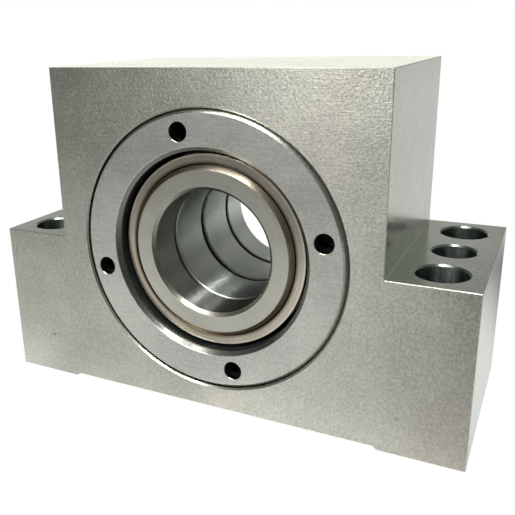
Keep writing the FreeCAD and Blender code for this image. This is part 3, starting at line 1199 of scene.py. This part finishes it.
@dataclass
class SealRing(TurnedPiece):
    """Ring round the collar, with a sloping face, labyrinth grooves and a crevice beside the collar.

    Attributes:
        wall: Thickness of the ring.
        edge_chamfer: Chamfer round the face.
        slope: Angle by which the face falls back towards its rim.
        crevice: Chamfer beside the collar.
        groove_width: Width of a labyrinth groove.
        groove_depth: Depth of a labyrinth groove.
        land: Width of the lands between the grooves.
    """

    wall: float = 2.56 * MM
    edge_chamfer: float = 0.1 * MM
    slope: float = math.radians(2.0)
    crevice: float = 0.35 * MM
    groove_width: float = 1.2 * MM
    groove_depth: float = 0.8 * MM
    land: float = 1.2 * MM

    def section(self) -> list[Corner]:
        """Face, grooved outside, back and the bore on the collar.

        Returns:
            Corners as (radius, depth from the outer face, round).
        """
        outer, length = self.outer_r, self.length
        inner, bottom = outer - self.wall, outer - self.groove_depth
        mouth, rim = inner + self.crevice, outer - self.edge_chamfer
        fall = (rim - mouth) * math.tan(self.slope)
        pitch = self.groove_width + self.land
        starts = self.land + pitch * np.arange(int((length - self.land) / pitch))
        groove = ((outer, 0.0), (bottom, 0.0), (bottom, self.groove_width), (outer, self.groove_width))
        grooves = [(radius, start + reach, self.edge) for start in starts for radius, reach in groove]
        return [
            (mouth, 0.0, self.edge),
            (rim, fall, self.edge),
            (outer, fall + self.edge_chamfer, self.edge),
            *grooves,
            (outer, length, self.edge),
            (inner, length, self.edge),
            (inner, self.crevice, self.edge),
        ]


@dataclass
class InnerRing(TurnedPiece):
    """Inner ring of an angular contact bearing, with its high shoulder towards the middle of the stack.

    Attributes:
        section_height: Height of the whole bearing, from its bore to its outside.
        bore_chamfer: Chamfer at both ends of the bore.
        bore_round: Radius between chamfer and bore.
        ball_r: Radius of the balls.
        conformity: Radius of the raceway over that of the balls.
        clearance: Gap between ball and raceway on the line of contact.
        contact_angle: Angle from the plane of the balls to the line of contact.
        low_shoulder: Distance from the pitch circle to the open shoulder.
        high_shoulder: Distance from the pitch circle to the shoulder that takes the thrust.
        arc_share: Radius of the drawn arc over the raceway's, less than 1 to leave room for the broken edges.
    """

    section_height: float = 16.0 * MM
    bore_chamfer: float = 1.15 * MM
    bore_round: float = 0.5 * MM
    ball_r: float = 3.572 * MM
    conformity: float = 1.04
    clearance: float = 0.04 * MM
    contact_angle: float = math.radians(60.0)
    low_shoulder: float = 2.8 * MM
    high_shoulder: float = 0.8 * MM
    arc_share: float = 0.985
    steps: int = 13

    def raceway(self) -> tuple[Corner, Corner, Corner]:
        """Raceway as a rounded corner between its two end tangents.

        Angles are taken at the raceway's centre from the way to the axis. The arc runs from the angle of the
        low shoulder to that of the high one, and its tangents meet over the middle angle, at the raceway's
        radius divided by the cosine of half the arc.

        Returns:
            Start, tangent corner and end of the arc.
        """
        pitch_r = SHAFT_R + self.section_height / 2
        radius = self.conformity * self.ball_r
        offset = radius - self.ball_r - self.clearance
        centre_r = pitch_r + offset * math.cos(self.contact_angle)
        centre = self.length / 2 - offset * math.sin(self.contact_angle)
        low_r, high_r = pitch_r - self.low_shoulder, pitch_r - self.high_shoulder
        first = -math.acos((centre_r - low_r) / radius)
        last = math.acos((centre_r - high_r) / radius)
        middle, half = (first + last) / 2, (last - first) / 2

        def on_arc(angle: float, distance: float) -> tuple[float, float]:
            """Point at an angle, at a distance from the raceway's centre."""
            return centre_r - distance * math.cos(angle), centre + distance * math.sin(angle)

        return (
            (*on_arc(first, radius), self.edge),
            (*on_arc(middle, radius / math.cos(half)), self.arc_share * radius),
            (*on_arc(last, radius), self.edge),
        )

    def section(self) -> list[Corner]:
        """Low shoulder, raceway, high shoulder and the bore with its chamfers.

        Returns:
            Corners as (radius, depth from the outer face, round).
        """
        low, tangent, high = self.raceway()
        length = self.length
        return [
            (low[0], 0.0, self.edge),
            low,
            tangent,
            high,
            (high[0], length, self.edge),
            (SHAFT_R + self.bore_chamfer, length, self.edge),
            (SHAFT_R, length - self.bore_chamfer, self.bore_round),
            (SHAFT_R, self.bore_chamfer, self.bore_round),
            (SHAFT_R + self.bore_chamfer, 0.0, self.edge),
        ]


@dataclass
class RetainingRing:
    """Ring screwed into the block, with four blind pin-spanner holes in its ground face.

    Attributes:
        finish: Finish of its surface.
        inner_r: Radius of its bore.
        outer_chamfer: Chamfer between face and thread.
        bore_chamfer: Chamfer between face and bore.
        nose_length: Length of the nose that presses on the bearing.
        nose_r: Radius of that nose.
        thread_pitch: Pitch of the thread outside.
        thread_depth: Depth of the thread.
        thread_lead: Plain length at each end of the thread.
        thread_slope: Slope of the thread's flanks over a plain triangle's, more than 1 for flat crests.
        thread_rows: Points along the thread.
        hole_depth: Depth of a spanner hole.
        hole_chamfer: Chamfer at its mouth.
        hole_angle: Angle of the first hole.
        hole_tip: Radius of the flat tip at its bottom, over its own.
        edge: Radius of the broken edges.
        count: Points round the axis.
        patch: Points from a hole's centre line to the side of its patch of the face.
        patch_rows: Points from a hole's mouth to the border of its patch.
        node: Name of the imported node.
    """

    finish: Finish
    inner_r: float = 24.25 * MM
    outer_chamfer: float = 1.0 * MM
    bore_chamfer: float = 0.95 * MM
    nose_length: float = 1.6 * MM
    nose_r: float = 30.7 * MM
    thread_pitch: float = 1.5 * MM
    thread_depth: float = 0.8 * MM
    thread_lead: float = 0.6 * MM
    thread_slope: float = 1.5
    thread_rows: int = 64
    hole_depth: float = 6.0 * MM
    hole_chamfer: float = 0.15 * MM
    hole_angle: float = math.radians(12.5)
    hole_tip: float = 0.02
    edge: float = 0.12 * MM
    count: int = 360
    patch: int = 10
    patch_rows: int = 6
    node: str = "retaining_ring"

    def __post_init__(self) -> None:
        """Reads the ring's place from the frame."""
        low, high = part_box(self.node)
        self.face, self.back = low.y, high.y
        self.outer_r = (high.x - low.x) / 2
        holes = MOUNTS["spanner_holes"]["dims"]
        self.hole_r = holes["hole_r_mm"] * MM
        self.circle_r = holes["pcd_mm"] / 2 * MM
        self.hole_count = holes["count"]
        self.angles = full_turn(self.count, self.hole_angle)
        self.rim_r = self.outer_r - self.outer_chamfer - 3 * self.edge
        self.lip_r = self.inner_r + self.bore_chamfer + 3 * self.edge
        self.radii = np.linspace(self.lip_r, self.rim_r, 2 * self.patch + 1)
        self.thread_start = self.face + self.outer_chamfer + self.thread_lead
        self.thread_end = self.back - self.nose_length - self.thread_lead

    def rim(self) -> Surface:
        """Edge of the face and its chamfer, out to the start of the thread.

        Returns:
            The turned surface.
        """
        corners = [
            (self.rim_r, self.face, 0.0),
            (self.outer_r - self.outer_chamfer, self.face, self.edge),
            (self.outer_r, self.face + self.outer_chamfer, self.edge),
            (self.outer_r, self.thread_start, 0.0),
        ]
        return Outline(corners, closed=False).turned(self.angles)

    def thread(self) -> Surface:
        """Thread on the outside.

        At angle q and depth y the radius is the crest's less the thread's depth times a wave: a triangle of
        the phase y / pitch - q / turn, flattened at crest and root and faded out over one pitch at both ends.

        Returns:
            The threaded band.
        """
        along = np.linspace(self.thread_start, self.thread_end, self.thread_rows)
        angle, depth = np.meshgrid(self.angles, along, indexing="ij")
        phase = (depth - self.thread_start) / self.thread_pitch - (angle - self.hole_angle) / (2 * np.pi)
        triangle = np.abs(2 * (phase % 1.0) - 1)
        wave = np.clip(self.thread_slope * (triangle - 0.5) + 0.5, 0, 1)
        inside = np.minimum(depth - self.thread_start, self.thread_end - depth) / self.thread_pitch
        fade = np.clip(inside, 0, 1)
        radius = self.outer_r - self.thread_depth * wave * fade * fade * (3 - 2 * fade)
        points = np.stack([radius * np.cos(angle), depth, AXIS_Z + radius * np.sin(angle)], axis=2)
        step = np.roll(points, -1, axis=0) - np.roll(points, 1, axis=0)
        normals = np.cross(np.gradient(points, axis=1), step)
        normals /= np.linalg.norm(normals, axis=2, keepdims=True)
        outward = np.stack([np.cos(angle), np.zeros_like(angle), np.sin(angle)], axis=2)
        normals *= np.sign((normals * outward).sum(axis=2, keepdims=True))
        normals[:, [0, -1]] = outward[:, [0, -1]]
        return Surface.from_grid(points, normals, round_rows=True)

    def body(self) -> Surface:
        """From the end of the thread over the nose and the back, through the bore to the edge of the face.

        Returns:
            The turned surface.
        """
        nose = self.back - self.nose_length
        corners = [
            (self.outer_r, self.thread_end, 0.0),
            (self.outer_r, nose, self.edge),
            (self.nose_r, nose, self.edge),
            (self.nose_r, self.back, self.edge),
            (self.inner_r, self.back, self.edge),
            (self.inner_r, self.face + self.bore_chamfer, self.edge),
            (self.inner_r + self.bore_chamfer, self.face, self.edge),
            (self.lip_r, self.face, 0.0),
        ]
        return Outline(corners, closed=False).turned(self.angles)

    def flat(self, points: np.ndarray) -> Surface:
        """Part of the ground face over a grid of (x, z) places about the axis.

        Args:
            points: Grid of shape (rows, columns, 2).

        Returns:
            The flat surface, looking forward.
        """
        x, z = points[..., 0], points[..., 1]
        grid = np.stack([x, np.full_like(x, self.face), AXIS_Z + z], axis=2)
        return Surface.from_grid(grid, np.broadcast_to((0.0, -1.0, 0.0), grid.shape))

    def plain_sector(self, angles: np.ndarray) -> Surface:
        """Part of the face between two holes, a polar grid from lip to rim.

        Args:
            angles: Angles from the side of one hole's patch to that of the next.

        Returns:
            The flat surface.
        """
        parts = [np.outer(part, self.radii) for part in (np.cos(angles), np.sin(angles))]
        return self.flat(np.stack(parts, axis=2))

    def holed_sector(self, angles: np.ndarray) -> list[Surface]:
        """Part of the face round one hole, and the hole.

        The face's grid runs from the hole's mouth to the border of its patch: each point of the border has
        its own point of the mouth, straight towards the hole's centre, and the rows between divide that line
        evenly. The hole carries an outline of (radius, depth) round its own axis through the same points.

        Args:
            angles: Angles of the patch, with the hole at the middle one.

        Returns:
            The face's part, the hole's wall and the tip that closes it.
        """
        between = self.radii[1:-1]
        left, right = (np.full_like(between, angle) for angle in angles[[0, -1]])
        lip, rim = (np.full_like(angles, radius) for radius in self.radii[[0, -1]])
        wide = np.concatenate([angles, right, angles[::-1], left])
        far = np.concatenate([rim, between[::-1], lip, between])
        border = np.stack([far * np.cos(wide), far * np.sin(wide)], axis=1)
        middle = angles[len(angles) // 2]
        centre = self.circle_r * np.array([math.cos(middle), math.sin(middle)])
        ray = border - centre
        ray /= np.linalg.norm(ray, axis=1, keepdims=True)
        mouth_r = self.hole_r + self.hole_chamfer + 2 * self.edge
        mouth = centre + mouth_r * ray
        share = np.linspace(0, 1, self.patch_rows)[:, None, None]
        grid = mouth + share * (border - mouth)
        grid = np.concatenate([grid, grid[:, :1]], axis=1)
        corners = [
            (mouth_r, 0.0, 0.0),
            (self.hole_r + self.hole_chamfer, 0.0, self.edge),
            (self.hole_r, self.hole_chamfer, self.edge),
            (self.hole_r, self.hole_depth, self.edge),
            (self.hole_tip * self.hole_r, self.hole_depth + self.hole_r / 2, 0.0),
        ]
        outline, normals = Outline(corners, closed=False).sampled()
        across = centre + outline[:, :1, None] * ray
        deep = np.broadcast_to(self.face + outline[:, 1:], across.shape[:2])
        wall = np.stack([across[..., 0], deep, AXIS_Z + across[..., 1]], axis=2)
        lean = -normals[:, :1, None] * ray
        away = np.broadcast_to(-normals[:, 1:], across.shape[:2])
        looks = np.stack([lean[..., 0], away, lean[..., 1]], axis=2)
        tip = Surface.disc(wall[-1], (0.0, -1.0, 0.0))
        return [self.flat(grid), Surface.from_grid(wall, looks, round_columns=True), tip]

    def build(self) -> bpy.types.Object:
        """Joins the ring's parts, sets the piece on its body and hides the node that it stands for.

        Returns:
            The new piece.
        """
        parts = [self.rim(), self.thread(), self.body()]
        quarter = self.count // self.hole_count
        for hole in range(self.hole_count):
            around_hole = np.arange(-self.patch, self.patch + 1) + hole * quarter
            between = np.arange(self.patch, quarter - self.patch + 1) + hole * quarter
            parts += self.holed_sector(self.angles[around_hole % self.count])
            parts.append(self.plain_sector(self.angles[between % self.count]))
        piece = Surface.joined(parts).make(self.node + "_threaded")
        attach(piece, "block")
        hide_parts(self.node)
        LOG.info("%s: %d faces", piece.name, len(piece.data.polygons))
        return piece

    def dress(self, piece: bpy.types.Object) -> None:
        """Puts the finish on the ring."""
        self.finish.dress(piece)


@dataclass
class InnerStack:
    """Collars, seal rings and inner rings that turn with the shaft.

    Attributes:
        finishes: Finishes of the bearing.
        seal_edge: Radius of the seal rings' broken edges.
        pieces: The pieces, from the front end on.
    """

    finishes: Finishes
    seal_edge: float = 0.06 * MM
    pieces: list[TurnedPiece] = field(default_factory=list)

    def __post_init__(self) -> None:
        """Lists the same three pieces at both ends."""
        steel = self.finishes
        # Painted shade in the front collar's bore, painted light in the rear collar's bore.
        bores = {End.FRONT: steel.shaded_collar_bore, End.REAR: steel.lit_rear_bore}
        for end in End:
            self.pieces += [
                Collar("collar", end, steel.collar, bores[end], "collar_steel"),
                SealRing("seal_ring", end, steel.seal, steel.shaded_seal_wall, "seal_steel", edge=self.seal_edge),
                InnerRing("bearing_inner_ring", end, steel.bearing, steel.bearing_bore, "bearing_steel"),
            ]

    def build_and_dress(self) -> None:
        """Builds each piece and puts its finish on."""
        for piece in self.pieces:
            piece.dress(piece.build())


@dataclass
class PackedNodes:
    """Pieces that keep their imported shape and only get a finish."""

    finishes: Finishes

    def dress(self) -> None:
        """Dresses the block, the outer rings, the cages and the balls."""
        by_ending = {
            "housing": self.finishes.block,
            "outer_ring": self.finishes.bearing,
            "cage": self.finishes.cage,
        }
        for name, node in frame["nodes"].items():
            if node.hide_render:
                continue
            ending = next((key for key in by_ending if name.endswith(key)), None)
            finish = by_ending.get(ending, self.finishes.balls)
            finish.dress(node)
            LOG.info("%s: dressed in %s", name, finish.material.name)


@dataclass
class Panel:
    """A soft light panel.

    Attributes:
        name: Name of the light.
        place: Middle of the panel in metres.
        width: Width of the panel in metres.
        height: Height of the panel in metres.
        radiance: Brightness of its surface.
        aim: Point that the panel faces.
    """

    name: str
    place: tuple[float, float, float]
    width: float
    height: float
    radiance: float
    aim: tuple[float, float, float] = (0.0, 0.0, AXIS_Z)

    @staticmethod
    def overhead(name: str, across: float, width: float, radiance: float) -> "Panel":
        """Long panel over the floor in front of the bearing, which looks straight down.

        Args:
            name: Name of the light.
            across: Its place along X.
            width: Width of the panel.
            radiance: Brightness of its surface.

        Returns:
            The panel.
        """
        along, up, length = -0.5, 0.95, 0.76
        return Panel(name, (across, along, up), width, length, radiance, (across, along, 0.0))

    def hang(self) -> bpy.types.Object:
        """Hangs the panel in the scene.

        Returns:
            The light.
        """
        light = bpy.data.lights.new(self.name, "AREA")
        light.shape = "RECTANGLE"
        light.size, light.size_y = self.width, self.height
        light.energy = PANEL_POWER * self.radiance * self.width * self.height
        lamp = bpy.data.objects.new(self.name, light)
        lamp.location = self.place
        lamp.rotation_euler = (lamp.location - Vector(self.aim)).to_track_quat("Z", "Y").to_euler()
        lamp.visible_camera = False
        bpy.context.scene.collection.objects.link(lamp)
        return lamp


@dataclass(frozen=True)
class Patch:
    """A part of the floor or of the room that is lighter or darker than the rest.

    Attributes:
        name: What the patch is.
        level: Brightness that it adds.
        x: Soft borders along X, each from where the patch ends to where it is full.
        y: Soft borders along Y.
        z: Soft borders along Z.
        lean: How far the borders along X shift for each unit of Y.
    """

    name: str
    level: float
    x: Sequence[Border] = ()
    y: Sequence[Border] = ()
    z: Sequence[Border] = ()
    lean: float = 0.0

    def share(self, graph: Graph, place: Socket) -> Socket:
        """Share of the patch at a place: the product of a smooth step over each of its borders.

        Args:
            graph: The tree of the floor or the room.
            place: Place on the floor in millimetres, or direction in the room.

        Returns:
            The share's socket.
        """
        x, y, z = graph.split(place)
        axes = ((graph.sum((x, 1.0), (y, -self.lean)), self.x), (y, self.y), (z, self.z))
        return graph.product(*(graph.fit(value, *border) for value, borders in axes for border in borders))


@dataclass
class Studio:
    """Pale floor, soft lights and the camera.

    Attributes:
        eye: Place of the camera.
        azimuth: Degrees of the view to the right of straight ahead.
        elevation: Degrees that the view looks down.
        roll: Degrees that the camera leans.
        lens: Focal length in millimetres on the default sensor.
        shift: Shift of the picture across and up, as shares of its width.
        panels: Light panels.
        room: Brightness of the room round the bearing.
        backdrop: Glow just above the floor behind the bearing.
        backdrop_tone: Colour of that glow.
        room_patches: Other parts of the room that are lighter.
        floor: Brightness of the floor out of its patches.
        floor_least: Least brightness of the floor.
        floor_patches: Parts of the floor that are lighter or darker.
        footprint: Part of the floor under the block, which gives no light.
        floor_size: Half width of the floor.
    """

    eye: tuple[float, float, float] = (0.06988, -0.15413, 0.08932)
    azimuth: float = 27.497
    elevation: float = 17.652
    roll: float = -1.512
    lens: float = 47.008
    shift: tuple[float, float] = (0.0810, -0.0247)
    panels: Sequence[Panel] = (
        Panel.overhead("right_key_panel", 0.11, 0.13, 18.0),
        Panel.overhead("left_key_panel", -0.31, 0.12, 6.0),
        Panel.overhead("middle_key_panel", -0.1, 0.28, 1.3),
        Panel("strip_panel", (-0.252, -0.85, 0.53), 0.1, 0.6, 12.2),
        Panel("side_panel", (-0.4, -0.8, 0.6), 0.16, 0.6, 1.4),
    )
    room: float = 0.1
    backdrop: Patch = Patch("backdrop", 1.22, x=[(0.2, -0.1)], y=[(0.1, 0.6)], z=[(0.2, 0.06)])
    backdrop_tone: Colour = (1.0, 1.0, 0.88)
    room_patches: Sequence[Patch] = (
        Patch("behind", 0.18, y=[(0.1, 0.6)]),
        Patch("left behind", 0.14, x=[(0.3, -0.2)], y=[(0.1, 0.6)], z=[(0.6, 0.2)]),
        Patch("overhead in front", 0.15, y=[(0.1, -0.3)], z=[(0.15, 0.8)]),
    )
    floor: float = 0.04
    floor_least: float = 0.05
    floor_patches: Sequence[Patch] = (
        Patch("near front", 0.38, y=[(-192, -105)]),
        Patch("wide front", 0.21, y=[(-1500, -200)]),
        Patch("right shade", -0.52, x=[(2, 88), (240, 150)], y=[(0, -100)]),
        Patch("left", 0.44, x=[(60, -20)], y=[(-50, -30)]),
        Patch("pool", 0.34, x=[(-12, 8), (52, 32)], y=[(-50, -30)]),
        Patch("left middle", 0.14, x=[(-155, -105), (45, -5)], y=[(-155, -125), (-35, -65)]),
        Patch("dip before the ring", -0.09, x=[(-51, -33), (15, -3)], y=[(-90, -72), (-26, -44)]),
        Patch("beside and behind", 0.17, y=[(-40, 0)]),
        Patch("far behind", -0.1, y=[(80, 160)]),
        Patch("right side", 0.08, x=[(30, 60), (130, 100)], y=[(-80, 0), (160, 80)]),
        Patch("shadow behind", -0.68, x=[(-55, -40), (55, 40)], y=[(-65, 25), (185, 95)], lean=0.25),
    )
    footprint: Patch = Patch("footprint", 0.0, x=[(-60, -58), (60, 58)], y=[(-25, -23), (25, 23)])
    floor_size: float = 3.0

    def place_camera(self) -> None:
        """Sets the camera up at the picture's angle."""
        data = bpy.data.cameras.new("camera")
        data.lens = self.lens
        data.shift_x, data.shift_y = self.shift
        data.clip_start = 0.01
        camera = bpy.data.objects.new("camera", data)
        turn = Matrix.Rotation(math.radians(self.azimuth), 4, "Z")
        tilt = Matrix.Rotation(math.radians(90.0 - self.elevation), 4, "X")
        lean = Matrix.Rotation(math.radians(self.roll), 4, "Z")
        camera.matrix_world = Matrix.Translation(self.eye) @ turn @ tilt @ lean
        bpy.context.scene.collection.objects.link(camera)
        bpy.context.scene.camera = camera

    def light_room(self) -> None:
        """Makes the room: dim at the height of the bearing, lighter overhead, behind and low down behind."""
        graph = Graph(bpy.data.worlds.new("room"))
        bpy.context.scene.world = graph.owner
        way = graph.add("TexCoord").outputs["Generated"]
        level = self.brightness(graph, way, self.room, (self.backdrop, *self.room_patches))
        tone = graph.blend(self.backdrop.share(graph, way), WHITE, self.backdrop_tone)
        self.show_white(graph, level, tone, "Background", "OutputWorld")

    def lay_floor(self) -> None:
        """Lays the floor: a flat square with lighter and darker patches that show only in the steel."""
        side = np.linspace(-self.floor_size, self.floor_size, 3)
        x, y = np.meshgrid(side, side, indexing="ij")
        grid = np.stack([x, y, np.zeros_like(x)], axis=2)
        floor = Surface.from_grid(grid, np.broadcast_to((0.0, 0.0, 1.0), grid.shape)).make("floor")
        graph = Graph(bpy.data.materials.new("floor_white"))
        place = graph.place()
        level = self.brightness(graph, place, self.floor, self.floor_patches)
        level = graph.math("MAXIMUM", level, self.floor_least)
        level = graph.mix(self.footprint.share(graph, place), level, self.footprint.level)
        self.show_white(graph, level, WHITE, "Emission", "OutputMaterial")
        floor.data.materials.append(graph.owner)

    @staticmethod
    def brightness(graph: Graph, place: Socket, base: float, patches: Sequence[Patch]) -> Socket:
        """Brightness at a place: a base and what each patch adds to it.

        Args:
            graph: The tree of the floor or the room.
            place: Place on the floor in millimetres, or direction in the room.
            base: Brightness out of every patch.
            patches: The patches.

        Returns:
            The brightness socket.
        """
        LOG.info("%s: %s", graph.owner.name, ", ".join(patch.name for patch in patches))
        return graph.sum((1.0, base), *((patch.share(graph, place), patch.level) for patch in patches))

    @staticmethod
    def show_white(graph: Graph, level: Socket, tone: Tone, shader: str, output: str) -> None:
        """Ends a tree in a glow that the camera itself sees as white.

        Args:
            graph: The tree of the floor or the room.
            level: Brightness for everything but the camera.
            tone: Colour of the light for everything but the camera.
            shader: Kind of the glowing shader.
            output: Kind of the output node.
        """
        seen = graph.add("LightPath").outputs["Is Camera Ray"]
        glow = {"Color": graph.blend(seen, tone, WHITE), "Strength": graph.mix(seen, level, 1.0)}
        graph.add(output, {"Surface": graph.add(shader, glow).outputs[0]})

    def set_up(self) -> None:
        """Sets up camera, room, floor and panels."""
        self.place_camera()
        self.light_room()
        self.lay_floor()
        for panel in self.panels:
            panel.hang()
        bpy.context.scene.view_settings.view_transform = "Standard"
        LOG.info("studio: %d panels", len(self.panels))


def main() -> None:
    """Builds every sub-assembly, dresses it and sets up the studio."""
    logging.basicConfig(level=logging.INFO, format="%(name)s %(message)s")
    finishes = Finishes()
    InnerStack(finishes).build_and_dress()
    ring = RetainingRing(finishes.ring)
    ring.dress(ring.build())
    PackedNodes(finishes).dress()
    Studio().set_up()


if __name__ == "__main__":
    main()
